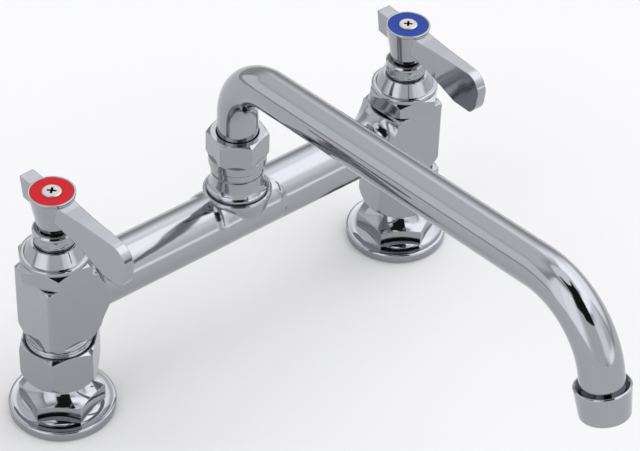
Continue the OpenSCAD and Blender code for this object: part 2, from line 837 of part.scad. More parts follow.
module hub() {
    foot = hub_foot / 2;
    foot_rise = 4;
    foot_inset = [2.4, 0.8];
    rim = hub_dia / 2;
    rim_height = 1;
    edge = 0.2;
    rotate_extrude() polygon([
        [0, hub_bottom], [foot - foot_inset[0], hub_bottom],
        [foot - foot_inset[1], hub_bottom + 0.4 * foot_rise], [foot, hub_bottom + foot_rise],
        [rim - edge, hub_top - rim_height - edge], [rim, hub_top - rim_height],
        [rim, hub_top - edge], [rim - edge, hub_top], [0, hub_top]
    ]);
}

module lever(rest_angle) {
    drive = drive_square + 2 * seat_gap;
    stub_top = hub_top - 1.1;
    stub_bottom = hub_top - 12.6;
    stub_lean = 1.8;
    root = 4;
    color(chrome) rotate([0, 0, rest_angle]) difference() {
        union() {
            hub();
            intersection() {
                rotate([90, 0, -90]) translate([0, 0, -hub_dia / 2])
                    linear_extrude(hub_dia) blade_side();
                rotate([0, 0, -90]) translate([0, 0, hub_bottom])
                    linear_extrude(hub_height + cut) blade_plan();
            }
            rotate([90, 0, 90]) translate([0, 0, -stub_width / 2]) linear_extrude(stub_width)
                polygon([
                    [root, stub_top], [stub_reach, stub_top],
                    [stub_reach - stub_lean, stub_bottom + 0.8], [root, stub_bottom]
                ]);
        }
        translate([-drive / 2, -drive / 2, hub_bottom - cut])
            cube([drive, drive, drive_length + seat_gap + cut]);
        translate([0, 0, hub_bottom]) cylinder(d = screw_shank + 4 * seat_gap, h = hub_height);
        translate([0, 0, index_floor]) cylinder(d = index_dia + 2 * seat_gap, h = index_thick + cut);
    }
}

module index_ring(shade) {
    color(shade) translate([0, 0, index_floor])
        ring(index_dia, screw_head + 2 * seat_gap, index_thick);
}

// The head fills the index ring's hole and stands a little above it.
module handle_screw() {
    cross = 4.2;
    slot = 1.1;
    depth = 1.6;
    edge = 0.35;
    stand = 0.7;
    engagement = 9;
    head_top = index_top + stand;
    color("lightgray") difference() {
        union() {
            translate([0, 0, index_floor]) cylinder(d = screw_head, h = index_thick + stand - edge);
            translate([0, 0, head_top - edge])
                cylinder(d1 = screw_head, d2 = screw_head - 3 * edge, h = edge);
            translate([0, 0, drive_top - engagement])
                cylinder(d = screw_shank, h = index_floor - drive_top + engagement + sink);
        }
        for (turn = [45, 135]) rotate([0, 0, turn])
            translate([-cross / 2, -slot / 2, head_top - depth]) cube([cross, slot, depth + cut]);
    }
}

// Swivel

function spigot_dia() = base_collar - 3.8;

module swivel_base() {
    neck = base_collar / 2;
    foot = base_foot / 2;
    foot_height = 1.2;
    hollow = 4;
    hollow_top = 5;
    color(chrome) difference() {
        union() {
            translate([0, 0, boss_top - base_spigot])
                cylinder(d = spigot_dia(), h = base_spigot + cut);
            rotate_extrude() difference() {
                translate([0, boss_top]) square([foot, base_collar_height]);
                translate([neck, boss_top + hollow_top])
                    square([cut + foot - neck, base_collar_height]);
                translate([neck + hollow, boss_top + hollow_top]) circle(r = hollow);
                translate([foot, boss_top + foot_height]) square([cut, base_collar_height]);
            }
            translate([0, 0, thread_bottom - sink])
                cylinder(d = swivel_thread, h = swivel_thread_length + sink);
        }
        translate([0, 0, boss_top - base_spigot - cut])
            cylinder(d = waterway, h = base_spigot + base_collar_height);
        translate([0, 0, sleeve_floor]) cylinder(d = swivel_bore, h = base_top);
    }
}

module swivel_nut() {
    point = corner(swivel_hex);
    opening = spout_dia + 2 * free_gap;
    crown = swivel_hex / 2 - 0.2;
    chamfer = (point - crown) * tan(30);
    slope = 1;
    edge = 0.5;
    shoulder_foot = swivel_nut_bottom + swivel_skirt_height;
    hex_bottom = shoulder_foot + swivel_shoulder_height;
    color(chrome) difference() {
        union() {
            rotate_extrude() polygon([
                [0, swivel_nut_bottom], [swivel_skirt / 2 - edge, swivel_nut_bottom],
                [swivel_skirt / 2, swivel_nut_bottom + edge], [swivel_skirt / 2, shoulder_foot - slope],
                [swivel_shoulder / 2, shoulder_foot], [swivel_shoulder / 2, hex_bottom + sink],
                [0, hex_bottom + sink]
            ]);
            intersection() {
                translate([0, 0, hex_bottom]) rotate([0, 0, swivel_turn])
                    hexagon(swivel_hex, swivel_nut_top - hex_bottom);
                rotate_extrude() polygon([
                    [0, hex_bottom], [swivel_shoulder / 2, hex_bottom],
                    [point + sink, hex_bottom + slope], [point + sink, swivel_nut_top - chamfer],
                    [crown, swivel_nut_top], [0, swivel_nut_top]
                ]);
            }
        }
        translate([0, 0, swivel_nut_bottom - cut])
            cylinder(d = swivel_thread + 2 * seat_gap, h = slip_top + seat_gap - swivel_nut_bottom + cut);
        translate([0, 0, slip_top]) cylinder(d = opening, h = swivel_top + 2 * cut);
    }
}

module slip_washer() {
    color("ivory") translate([0, 0, slip_bottom + seat_gap])
        ring(swivel_thread - 2 * seat_gap, spout_dia + 2 * free_gap, slip_washer_thick);
}

// Spout

module bend(radius, angle, dia) {
    translate([0, -radius, 0]) rotate([90, 0, 90]) rotate_extrude(angle = angle)
        translate([radius, 0]) circle(d = dia + bend_excess);
}

module after_bend(radius, angle) {
    translate([0, -radius, 0]) rotate([angle, 0, 0]) translate([0, radius, 0]) children();
}

module at_second_bend() {
    translate([0, 0, riser_bend]) after_bend(first_bend, first_angle)
        translate([0, 0, run_length]) children();
}

module at_outlet() {
    at_second_bend() after_bend(second_bend, second_angle)
        translate([0, 0, outlet_straight]) children();
}

// The spout's centre line as a solid of the given diameter, run past both ends by extra
module spout_way(dia, extra) {
    translate([0, 0, tube_foot - extra])
        cylinder(d = dia, h = riser_bend - tube_foot + extra + bend_lap);
    translate([0, 0, riser_bend]) {
        bend(first_bend, first_angle, dia);
        after_bend(first_bend, first_angle) translate([0, 0, -bend_lap])
            cylinder(d = dia, h = run_length + 2 * bend_lap);
    }
    at_second_bend() {
        bend(second_bend, second_angle, dia);
        after_bend(second_bend, second_angle) translate([0, 0, -bend_lap])
            cylinder(d = dia, h = outlet_straight + aerator_grip + extra + bend_lap);
    }
}

module spout_tube() {
    color(chrome) difference() {
        spout_way(spout_dia, 0);
        spout_way(spout_dia - 2 * spout_wall, cut);
    }
}

module spout_sleeve() {
    color(brass) difference() {
        union() {
            translate([0, 0, sleeve_bottom]) cylinder(d = sleeve_dia, h = keeper_top - sleeve_bottom);
            translate([0, 0, keeper_bottom]) cylinder(d = swivel_thread - 2 * free_gap, h = keeper_thick);
        }
        translate([0, 0, sleeve_bottom - cut]) cylinder(d = waterway, h = keeper_top);
        translate([0, 0, tube_foot])
            cylinder(d = spout_dia + seat_gap, h = keeper_top - tube_foot + cut);
        for (height = ring_grooves) translate([0, 0, height])
            ring(sleeve_dia + 2 * cut, ring_bed_dia, spout_ring_cord + groove_play);
    }
}

module spout_o_rings() {
    color(rubber) for (height = ring_grooves)
        translate([0, 0, height + (spout_ring_cord + groove_play) / 2])
            o_ring(ring_bed_dia + seat_gap / 2, spout_ring_cord - seat_gap / 2);
}

// Aerator: these are drawn along the outlet's axis

module aerator_shell() {
    lip = 0.5;
    edge = 1;
    countersink = 1.6;
    foot = aerator_foot / 2;
    color(chrome) at_outlet() difference() {
        rotate_extrude() union() {
            polygon([
                [0, 0], [aerator_top / 2 - lip, 0], [aerator_top / 2, lip],
                [foot, aerator_length - edge], [foot - edge, aerator_length], [0, aerator_length]
            ]);
            translate([foot - 1.05 * edge, aerator_length - 1.05 * edge]) circle(r = edge);
        }
        translate([0, 0, -cut]) cylinder(d = spout_dia + 2 * seat_gap, h = washer_start + cut);
        translate([0, 0, -cut])
            cylinder(d = aerator_bore, h = aerator_length - aerator_lip + cut);
        cylinder(d = outlet_dia, h = aerator_length + cut);
        translate([0, 0, -sink]) cylinder(
            r1 = aerator_top / 2 - 1.6 * lip, r2 = spout_dia / 2 + seat_gap, h = countersink
        );
    }
}

module aerator_washer() {
    rim = 2.5;
    color(rubber) at_outlet() translate([0, 0, aerator_grip])
        ring(aerator_bore - 2 * seat_gap, aerator_bore - 2 * rim, aerator_washer_thick + seat_gap);
}

module aerator_housing() {
    outer = aerator_bore - 2 * seat_gap;
    inner = outer - 2 * housing_wall;
    length = housing_end - housing_start;
    vane = 0.8;
    root = 0.4;
    vane_start = 1.2;
    color("white") at_outlet() translate([0, 0, housing_start]) {
        ring(outer, inner, length);
        for (turn = [0, 60, 120]) rotate([0, 0, turn])
            translate([-inner / 2 - root, -vane / 2, vane_start])
                cube([inner + 2 * root, vane, length - vane_start - root]);
    }
}

module aerator_screen() {
    pitch = 2.4;
    hole = 1.5;
    thick = 0.6;
    rows = 2;
    screen_dia = aerator_bore - 2 * housing_wall - 4 * seat_gap;
    color("gray") at_outlet() translate([0, 0, housing_start + 0.5]) difference() {
        cylinder(d = screen_dia, h = thick);
        for (i = [-rows : rows], j = [-rows : rows])
            if (norm([i, j]) < rows + 0.5)
                translate([i * pitch - hole / 2, j * pitch - hole / 2, -cut])
                    cube([hole, hole, thick + 2 * cut]);
    }
}

manifold();
swivel_base();
swivel_nut();
slip_washer();
at_inlet(-1) flange(hot_flange_turn);  // hot_flange
at_inlet(1) flange(cold_flange_turn);  // cold_flange
at_inlet(-1) union_washer();  // hot_union_washer
at_inlet(1) union_washer();  // cold_union_washer
at_inlet(-1) coupling_nut(hot_coupling_turn);  // hot_coupling_nut
at_inlet(1) coupling_nut(cold_coupling_turn);  // cold_coupling_nut
at_inlet(-1) seat_seal();  // hot_seat_seal
at_inlet(1) seat_seal();  // cold_seat_seal
at_inlet(-1) cartridge_body();  // hot_cartridge_body
at_inlet(1) cartridge_body();  // cold_cartridge_body
at_inlet(-1) fixed_disc();  // hot_fixed_disc
at_inlet(1) fixed_disc();  // cold_fixed_disc
at_inlet(-1) bonnet_gasket();  // hot_bonnet_gasket
at_inlet(1) bonnet_gasket();  // cold_bonnet_gasket
at_inlet(-1) bonnet(hot_bonnet_turn);  // hot_bonnet
at_inlet(1) bonnet(cold_bonnet_turn);  // cold_bonnet
at_inlet(-1) packing();  // hot_packing
at_inlet(1) packing();  // cold_packing
at_inlet(-1) packing_nut();  // hot_packing_nut
at_inlet(1) packing_nut();  // cold_packing_nut
at_inlet(-1) turning_disc(hot_rest_angle);  // hot_turning_disc
at_inlet(1) turning_disc(cold_rest_angle);  // cold_turning_disc
at_inlet(-1) stem(hot_rest_angle);  // hot_stem
at_inlet(1) stem(cold_rest_angle);  // cold_stem
at_inlet(-1) stem_o_ring();  // hot_stem_o_ring
at_inlet(1) stem_o_ring();  // cold_stem_o_ring
at_inlet(-1) lever(hot_rest_angle);  // hot_lever
at_inlet(1) lever(cold_rest_angle);  // cold_lever
at_inlet(-1) index_ring("crimson");  // hot_index_ring
at_inlet(1) index_ring("royalblue");  // cold_index_ring
at_inlet(-1) handle_screw();  // hot_handle_screw
at_inlet(1) handle_screw();  // cold_handle_screw
spout_tube();
spout_sleeve();
spout_o_rings();
aerator_shell();
aerator_washer();
aerator_housing();
aerator_screen();
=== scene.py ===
import math

import bpy
from mathutils import Matrix, Vector


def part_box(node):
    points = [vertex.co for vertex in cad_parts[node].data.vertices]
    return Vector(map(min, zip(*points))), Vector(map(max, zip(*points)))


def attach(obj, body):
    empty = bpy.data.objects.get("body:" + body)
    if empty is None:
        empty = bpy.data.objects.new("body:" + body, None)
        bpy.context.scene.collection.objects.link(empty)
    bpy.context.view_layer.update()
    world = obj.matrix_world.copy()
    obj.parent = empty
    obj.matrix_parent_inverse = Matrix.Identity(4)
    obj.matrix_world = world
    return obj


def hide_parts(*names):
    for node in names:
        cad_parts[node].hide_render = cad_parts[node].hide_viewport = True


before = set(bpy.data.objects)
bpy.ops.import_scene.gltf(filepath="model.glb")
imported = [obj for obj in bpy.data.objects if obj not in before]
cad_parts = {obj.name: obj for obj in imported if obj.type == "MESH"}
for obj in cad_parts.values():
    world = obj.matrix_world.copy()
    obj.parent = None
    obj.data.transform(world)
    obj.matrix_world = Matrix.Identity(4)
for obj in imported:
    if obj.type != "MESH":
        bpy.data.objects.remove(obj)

bl_info = {
    "name": "Bridge Faucet",
    "version": (1, 0, 0),
    "blender": (4, 5, 0),
    "location": "3D View > Sidebar > Faucet",
    "description": "Finishes and fine pieces of a deck-mount bridge faucet, and its studio",
    "category": "Object",
}

MM = 0.001
INLET_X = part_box("cold_flange")[1].x / 2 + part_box("cold_flange")[0].x / 2
SIDES = {"hot": -1, "cold": 1}
# Distance within which doubled points are merged
MERGE = 0.001 * MM
# Rays that look for the neighbouring face where an edge is rounded
EDGE_RAYS = 6
# Span of values that most of a noise texture lies in
NOISE_SPAN = (0.35, 0.65)
# How many times longer than wide the draw lines of the tube are
DRAW_STRETCH = 50
# Painted shade in the recess of a handle screw's head: depths under the top, reach from the axis, and
# blur
RECESS_BOTTOM = 1.7 * MM
RECESS_MOUTH = 0.4 * MM
RECESS_REACH = 2.2 * MM
RECESS_BLUR = 0.05 * MM
# Sides of the tube, faces along each bend and along a turn of thread
TUBE_SIDES = 96
BEND_STEPS = 32
THREAD_STEPS = 72
# Short straight faces that end each straight stretch and keep the shading of a bend off it
BEND_LAP = 0.5 * MM
# Edges that are flatter than these stay smooth
TUBE_SMOOTH = math.radians(40)
THREAD_SMOOTH = math.radians(30)
# Side of the square floor and reach of the camera, in metres, and its sensor in millimetres
FLOOR_SIDE = 12
CAMERA_REACH = 50
SENSOR_WIDTH = 36
# Brightness of the white tent round the faucet
TENT = 0.58
# Panels of the tent: brightness, then in degrees the headings from +X towards +Y, the
# heights, and the blur of the upright and of the level edges. A later panel covers an
# earlier one.
PANELS = (
    (1.1, (60, 150), (30, 66), 12, 12),
    (1.25, (96, 168), (4, 31), 2, 2),
    (2.1, (20, 62), (31, 60), 8, 22),
    (1.0, (-75, -40), (-4, 40), 6, 4),
    (1.7, (-75, -38), (32, 56), 6, 18),
    (2.1, (-32, 24), (12, 60), 8, 15),
    (0.95, (-150, -100), (-4, 46), 8, 4),
    (1.6, (-98, -66), (4, 44), 8, 8),
    (1.9, (-84, -50), (-6, 8), 12, 3),
    (1.7, (164, 200), (-4, 62), 4, 8),
    (1.9, (-200, -150), (-4, 60), 10, 8),
    (2.4, (-42, 34), (44, 70), 9, 7),
    (2.3, (-98, -36), (50, 66), 5, 4),
    (1.5, (-181, 181), (72, 91), 3, 3),
    (0.03, (-148, -112), (44, 62), 2, 2),
)
# Dark gap beside the camera and over it: brightness, then in degrees its heading, heights
# and their blur, then half its width and the blur of its sides on a tent of radius 1
GAP_BRIGHTNESS = 0.02
GAP_HEADING = -113
GAP_HEIGHTS = (38, 81)
GAP_HEIGHT_BLUR = 1
GAP_HALF_WIDTH = 0.24
GAP_BLUR = 0.01


def linear(hex_colour):
    """The linear RGBA of an sRGB hex colour."""
    values = [int(hex_colour[i : i + 2], 16) / 255 for i in (1, 3, 5)]
    return [v / 12.92 if v <= 0.04045 else ((v + 0.055) / 1.055) ** 2.4 for v in values] + [1.0]


def per_mm(size):
    """The texture scale at which one feature of a pattern is size millimetres wide."""
    return 1 / (size * MM)


class FaucetPlating(bpy.types.PropertyGroup):
    plate: bpy.props.FloatVectorProperty(
        name="Plate",
        description="Colour of the chromium plate",
        subtype="COLOR",
        size=4,
        min=0,
        max=1,
        default=linear("#9FA1A5"),
    )
    edge: bpy.props.FloatProperty(
        name="Edge radius",
        description="Radius to which polishing and plating round the sharp edges",
        subtype="DISTANCE",
        unit="LENGTH",
        default=0.35 * MM,
    )
    rounding: bpy.props.FloatProperty(
        name="Lever rounding",
        description="Radius to which the levers' edges are rounded",
        subtype="DISTANCE",
        unit="LENGTH",
        default=0.5 * MM,
    )
    fillet: bpy.props.FloatProperty(
        name="Fillet radius",
        description="Radius of the fillets between the parts of the casting",
        subtype="DISTANCE",
        unit="LENGTH",
        default=1.3 * MM,
    )
    ripple: bpy.props.FloatProperty(
        name="Ripple width",
        description="Width of the faint waves that belt polishing leaves on the casting",
        subtype="DISTANCE",
        unit="LENGTH",
        default=9 * MM,
    )


class FaucetSpout(bpy.types.PropertyGroup):
    across: bpy.props.FloatProperty(
        name="Tube",
        description="Outer diameter of the tube",
        subtype="DISTANCE",
        unit="LENGTH",
        default=19.05 * MM,
    )
    wall: bpy.props.FloatProperty(
        name="Wall",
        description="Thickness of the tube's wall",
        subtype="DISTANCE",
        unit="LENGTH",
        default=1.2 * MM,
    )
    riser: bpy.props.FloatProperty(
        name="Riser",
        description="Straight length from the tube's foot to the first bend",
        subtype="DISTANCE",
        unit="LENGTH",
        default=28.4 * MM,
    )
    first_bend: bpy.props.FloatProperty(
        name="First bend",
        description="Radius of the first bend's centre line",
        subtype="DISTANCE",
        unit="LENGTH",
        default=26.7 * MM,
    )
    rise: bpy.props.FloatProperty(
        name="Rise",
        description="Angle at which the long run climbs",
        subtype="ANGLE",
        unit="ROTATION",
        default=math.radians(5.7),
    )
    run: bpy.props.FloatProperty(
        name="Run",
        description="Length of the long straight run",
        subtype="DISTANCE",
        unit="LENGTH",
        default=171 * MM,
    )
    second_bend: bpy.props.FloatProperty(
        name="Second bend",
        description="Radius of the second bend's centre line",
        subtype="DISTANCE",
        unit="LENGTH",
        default=37.2 * MM,
    )
    lean: bpy.props.FloatProperty(
        name="Lean",
        description="Angle between the outlet and the upright",
        subtype="ANGLE",
        unit="ROTATION",
        default=math.radians(14.3),
    )
    outlet: bpy.props.FloatProperty(
        name="Outlet",
        description="Straight length after the second bend, with what the aerator hides",
        subtype="DISTANCE",
        unit="LENGTH",
        default=12.2 * MM,
    )


class FaucetThread(bpy.types.PropertyGroup):
    root: bpy.props.FloatProperty(
        name="Root radius",
        description="Radius of the tail at the root of its thread",
        subtype="DISTANCE",
        unit="LENGTH",
        default=14.5 * MM,
    )
    depth: bpy.props.FloatProperty(
        name="Depth",
        description="Height of the thread over its root",
        subtype="DISTANCE",
        unit="LENGTH",
        default=0.5 * MM,
    )
    pitch: bpy.props.FloatProperty(
        name="Pitch",
        description="Distance from one turn of the thread to the next",
        subtype="DISTANCE",
        unit="LENGTH",
        default=0.8 * MM,
    )
    turns: bpy.props.IntProperty(
        name="Turns",
        description="Turns of the thread that show over the coupling nut",
        default=2,
    )
    bottom: bpy.props.FloatProperty(
        name="Bottom",
        description="Height of the lowest turn's middle over the deck",
        subtype="DISTANCE",
        unit="LENGTH",
        default=43.95 * MM,
    )


class FaucetInside(bpy.types.PropertyGroup):
    red: bpy.props.FloatVectorProperty(
        name="Hot ring",
        description="Colour of the index ring on the hot side",
        subtype="COLOR",
        size=4,
        min=0,
        max=1,
        default=linear("#BF0C1A"),
    )
    blue: bpy.props.FloatVectorProperty(
        name="Cold ring",
        description="Colour of the index ring on the cold side",
        subtype="COLOR",
        size=4,
        min=0,
        max=1,
        default=linear("#183A92"),
    )


class FaucetStudio(bpy.types.PropertyGroup):
    target: bpy.props.FloatVectorProperty(
        name="Target",
        description="Point that the camera looks at",
        subtype="TRANSLATION",
        unit="LENGTH",
        size=3,
        default=(51.523 * MM, 0, 29.563 * MM),
    )
    distance: bpy.props.FloatProperty(
        name="Distance",
        description="Distance from the camera to its target",
        subtype="DISTANCE",
        unit="LENGTH",
        default=1226.534 * MM,
    )
    heading: bpy.props.FloatProperty(
        name="Heading",
        description="Angle of the camera round the faucet, clockwise from straight in front",
        subtype="ANGLE",
        unit="ROTATION",
        default=math.radians(-40.617),
    )
    height: bpy.props.FloatProperty(
        name="Height angle",
        description="Angle at which the camera looks down",
        subtype="ANGLE",
        unit="ROTATION",
        default=math.radians(40.449),
    )
    roll: bpy.props.FloatProperty(
        name="Roll",
        description="Tilt of the picture",
        subtype="ANGLE",
        unit="ROTATION",
        default=math.radians(2.132),
    )
    lens: bpy.props.FloatProperty(
        name="Lens",
        description="Focal length in millimetres on a sensor 36 mm wide",
        default=141.66,
    )
    floor: bpy.props.FloatVectorProperty(
        name="Floor",
        description="Colour of the floor",
        subtype="COLOR",
        size=4,
        min=0,
        max=1,
        default=linear("#E6E6E6"),
    )


def new_material(name):
    """A node material with its shader, its tree and a point on the piece in metres."""
    material = bpy.data.materials.new(name)
    material.use_nodes = True
    tree = material.node_tree
    shader = tree.nodes["Principled BSDF"]
    place = add_node(tree, "ShaderNodeTexCoord").outputs["Object"]
    return material, tree, shader, place


def add_node(tree, kind, links=None, **settings):
    """Adds a node. settings are its own properties or its sockets' values, and links are
    sockets of other nodes that feed it, both by the socket's name or number."""
    node = tree.nodes.new(kind)
    for name, value in settings.items():
        if hasattr(node, name):
            setattr(node, name, value)
        else:
            node.inputs[name.replace("_", " ")].default_value = value
    for name, source in (links or {}).items():
        tree.links.new(source, node.inputs[name])
    return node


def set_sockets(shader, **values):
    """Sets a shader's own sockets by name."""
    for name, value in values.items():
        shader.inputs[name.replace("_", " ")].default_value = value


def vary_roughness(tree, shader, place, low, high, size):
    """Lets the roughness wander between low and high over patches of size millimetres."""
    patches = add_node(tree, "ShaderNodeTexNoise", {"Vector": place}, Scale=per_mm(size), Detail=3.0)
    spread = add_node(
        tree, "ShaderNodeMapRange", {"Value": patches.outputs["Fac"]},
        From_Min=NOISE_SPAN[0], From_Max=NOISE_SPAN[1], To_Min=low, To_Max=high,
    )
    tree.links.new(spread.outputs["Result"], shader.inputs["Roughness"])


def raise_bump(tree, shader, height, depth, rounding=None):
    """Feeds a bump of the given depth in millimetres to the shader, over edges that look
    rounded to the given radius."""
    links = {"Height": height}
    if rounding:
        edges = add_node(tree, "ShaderNodeBevel", samples=EDGE_RAYS, Radius=rounding)
        links["Normal"] = edges.outputs["Normal"]
    bump = add_node(tree, "ShaderNodeBump", links, Distance=depth * MM)
    tree.links.new(bump.outputs["Normal"], shader.inputs["Normal"])


def lathe_axes(tree, place, centre):
    """Distance of a point from the upright axis at X = centre, and its height."""
    centred = add_node(
        tree, "ShaderNodeMapping", {"Vector": place}, Location=(-centre, 0, 0)
    ).outputs["Vector"]
    axes = add_node(tree, "ShaderNodeSeparateXYZ", {"Vector": centred}).outputs
    flat = add_node(tree, "ShaderNodeCombineXYZ", {"X": axes["X"], "Y": axes["Y"]}).outputs["Vector"]
    radius = add_node(tree, "ShaderNodeVectorMath", {0: flat}, operation="LENGTH").outputs["Value"]
    return radius, axes["Z"]


def overlap(tree, *masks):
    """What several masks have in common."""
    common = masks[0]
    for mask in masks[1:]:
        both = add_node(tree, "ShaderNodeMath", {0: common, 1: mask}, operation="MULTIPLY")
        common = both.outputs["Value"]
    return common


def between(tree, value, low, high, blur):
    """A mask that is 1 where value lies from low to high and 0 outside, with edges that are
    twice blur wide."""
    rise = add_node(
        tree, "ShaderNodeMapRange", {"Value": value}, interpolation_type="SMOOTHSTEP",
        From_Min=low - blur, From_Max=low + blur,
    ).outputs["Result"]
    fall = add_node(
        tree, "ShaderNodeMapRange", {"Value": value}, interpolation_type="SMOOTHSTEP",
        From_Min=high - blur, From_Max=high + blur, To_Min=1.0, To_Max=0.0,
    ).outputs["Result"]
    return overlap(tree, rise, fall)


def between_angles(tree, angle, limits, blur):
    """The same mask for an angle, with its limits and blur in degrees."""
    low, high = (math.radians(limit) for limit in limits)
    return between(tree, angle, low, high, math.radians(blur))


def cast_chrome(name, fillet):
    """Chromium plate on cast brass, belt polished: a mirror with a faint slow ripple."""
    plating = bpy.context.scene.faucet_plating
    material, tree, shader, place = new_material(name)
    set_sockets(shader, Base_Color=plating.plate, Metallic=1.0)
    vary_roughness(tree, shader, place, low=0.045, high=0.11, size=26)
    ripple = add_node(
        tree, "ShaderNodeTexNoise", {"Vector": place},
        Scale=1 / plating.ripple, Detail=1.0, Roughness=0.4,
    )
    raise_bump(tree, shader, ripple.outputs["Fac"], depth=0.06, rounding=fillet)
    return material


def turned_chrome(name, centre):
    """Chromium plate on turned brass: a clean mirror with rings that the lathe left, too
    fine to show by themselves, so they are drawn 0.8 mm apart and very shallow."""
    plating = bpy.context.scene.faucet_plating
    material, tree, shader, place = new_material(name)
    set_sockets(shader, Base_Color=plating.plate, Metallic=1.0)
    vary_roughness(tree, shader, place, low=0.03, high=0.075, size=14)
    radius, height = lathe_axes(tree, place, centre)
    path = add_node(tree, "ShaderNodeMath", {0: radius, 1: height}, operation="ADD").outputs["Value"]
    rings = add_node(
        tree, "ShaderNodeTexNoise", {"W": path},
        noise_dimensions="1D", Scale=per_mm(0.8), Detail=2.0,
    )
    raise_bump(tree, shader, rings.outputs["Fac"], depth=0.006, rounding=plating.edge)
    return material


def drawn_chrome():
    """Chromium plate on drawn tube: the cleanest mirror here, with faint draw lines."""
    plating = bpy.context.scene.faucet_plating
    material, tree, shader, place = new_material("chrome plate on drawn tube")
    set_sockets(shader, Base_Color=plating.plate, Metallic=1.0)
    vary_roughness(tree, shader, place, low=0.03, high=0.07, size=40)
    stretched = add_node(
        tree, "ShaderNodeMapping", {"Vector": place}, Scale=(1, 1 / DRAW_STRETCH, 1)
    ).outputs["Vector"]
    lines = add_node(
        tree, "ShaderNodeTexNoise", {"Vector": stretched}, Scale=per_mm(1.2), Detail=1.0
    )
    raise_bump(tree, shader, lines.outputs["Fac"], depth=0.004, rounding=plating.edge)
    return material


def turned_brass():
    """Bare free-cutting brass as turned: warm yellow with tight rings and a soft gloss."""
    material, tree, shader, place = new_material("turned brass")
    set_sockets(shader, Base_Color=linear("#C9A45C"), Metallic=1.0)
    vary_roughness(tree, shader, place, low=0.22, high=0.36, size=6)
    height = add_node(tree, "ShaderNodeSeparateXYZ", {"Vector": place}).outputs["Z"]
    rings = add_node(
        tree, "ShaderNodeTexNoise", {"W": height},
        noise_dimensions="1D", Scale=per_mm(0.3), Detail=1.0,
    )
    raise_bump(tree, shader, rings.outputs["Fac"], depth=0.02)
    return material


def turned_steel(name, centre, top):
    """Stainless steel as turned and faced: pale warm grey, satin, with rings round its axis.
    The recess in the head at the top is painted near black as painted shade."""
    material, tree, shader, place = new_material(name)
    set_sockets(shader, Metallic=1.0)
    vary_roughness(tree, shader, place, low=0.26, high=0.38, size=3)
    radius, height = lathe_axes(tree, place, centre)
    rings = add_node(
        tree, "ShaderNodeTexNoise", {"W": radius},
        noise_dimensions="1D", Scale=per_mm(0.35), Detail=1.0,
    )
    raise_bump(tree, shader, rings.outputs["Fac"], depth=0.02, rounding=0.15 * MM)
    # Painted shade: the recess in the head is mixed to near black, standing in for the shade that falls
    # in it
    deep = between(tree, height, top - RECESS_BOTTOM, top - RECESS_MOUTH, RECESS_BLUR)
    narrow = between(tree, radius, -RECESS_REACH, RECESS_REACH, RECESS_BLUR)
    recess_painted_shade = add_node(
        tree, "ShaderNodeMixRGB", {"Fac": overlap(tree, deep, narrow)},
        Color1=linear("#BCBAB4"), Color2=linear("#1A1918"),
    )
    tree.links.new(recess_painted_shade.outputs["Color"], shader.inputs["Base Color"])
    return material


def wire_steel():
    """Stainless steel wire: bright grey, drawn and soft in gloss."""
    material, tree, shader, place = new_material("stainless steel wire")
    set_sockets(shader, Base_Color=linear("#B9B8B4"), Metallic=1.0)
    vary_roughness(tree, shader, place, low=0.3, high=0.42, size=2)
    return material


def moulded_rubber():
    """Nitrile rubber, moulded: near black, with a dull sheen and a fine grain."""
    material, tree, shader, place = new_material("moulded nitrile rubber")
    set_sockets(shader, Base_Color=linear("#222224"), IOR=1.52)
    vary_roughness(tree, shader, place, low=0.5, high=0.68, size=5)
    grain = add_node(tree, "ShaderNodeTexNoise", {"Vector": place}, Scale=per_mm(0.3), Detail=2.0)
    raise_bump(tree, shader, grain.outputs["Fac"], depth=0.02)
    return material


def lapped_ceramic():
    """Alumina, fired and lapped: an even warm white with a hard, tight gloss."""
    material, tree, shader, place = new_material("lapped alumina")
    set_sockets(shader, Base_Color=linear("#EDE9E0"), IOR=1.76)
    vary_roughness(tree, shader, place, low=0.12, high=0.2, size=4)
    return material


def moulded_plastic():
    """Acetal, moulded: milky white, waxy, with a slight unevenness of the gloss."""
    material, tree, shader, place = new_material("moulded acetal")
    set_sockets(shader, Base_Color=linear("#E6E5E0"), IOR=1.48, Subsurface_Weight=0.1)
    vary_roughness(tree, shader, place, low=0.32, high=0.45, size=5)
    return material


def index_plastic(name, colour):
    """ABS, moulded and through-coloured: strong and even, with a smooth, slightly wavy gloss
    that is weak enough for the colour to stay deep under the white tent."""
    material, tree, shader, place = new_material(name)
    set_sockets(shader, Base_Color=colour, IOR=1.53, Specular_IOR_Level=0.12)
    vary_roughness(tree, shader, place, low=0.24, high=0.34, size=5)
    waves = add_node(tree, "ShaderNodeTexNoise", {"Vector": place}, Scale=per_mm(2.5), Detail=1.0)
    raise_bump(tree, shader, waves.outputs["Fac"], depth=0.02, rounding=0.2 * MM)
    return material


def finish_piece(piece, material):
    """Gives a piece one material, in every slot that it has."""
    if not piece.material_slots:
        piece.data.materials.append(material)
    for slot in piece.material_slots:
        slot.material = material


def finish(node, material):
    """Gives a carried-over node one material."""
    finish_piece(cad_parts[node], material)


class FAUCET_OT_plate(bpy.types.Operator):
    """Plate the casting, the levers and every turned piece that shows"""

    bl_idname = "faucet.plate"
    bl_label = "Plate the faucet"

    def execute(self, context):
        plating = context.scene.faucet_plating
        finish("manifold", cast_chrome("chrome plate on cast brass, bridge", plating.fillet))
        levers = cast_chrome("chrome plate on cast brass, levers", plating.rounding)
        for side in SIDES:
            finish(f"{side}_lever", levers)
        middle = turned_chrome("chrome plate on turned brass, middle", 0)
        for node in ("swivel_base", "swivel_nut", "aerator_shell"):
            finish(node, middle)
        for side, sign in SIDES.items():
            turned = turned_chrome(f"chrome plate on turned brass, {side}", sign * INLET_X)
            for piece in ("flange", "coupling_nut", "bonnet", "packing_nut"):
                finish(f"{side}_{piece}", turned)
        return {"FINISHED"}


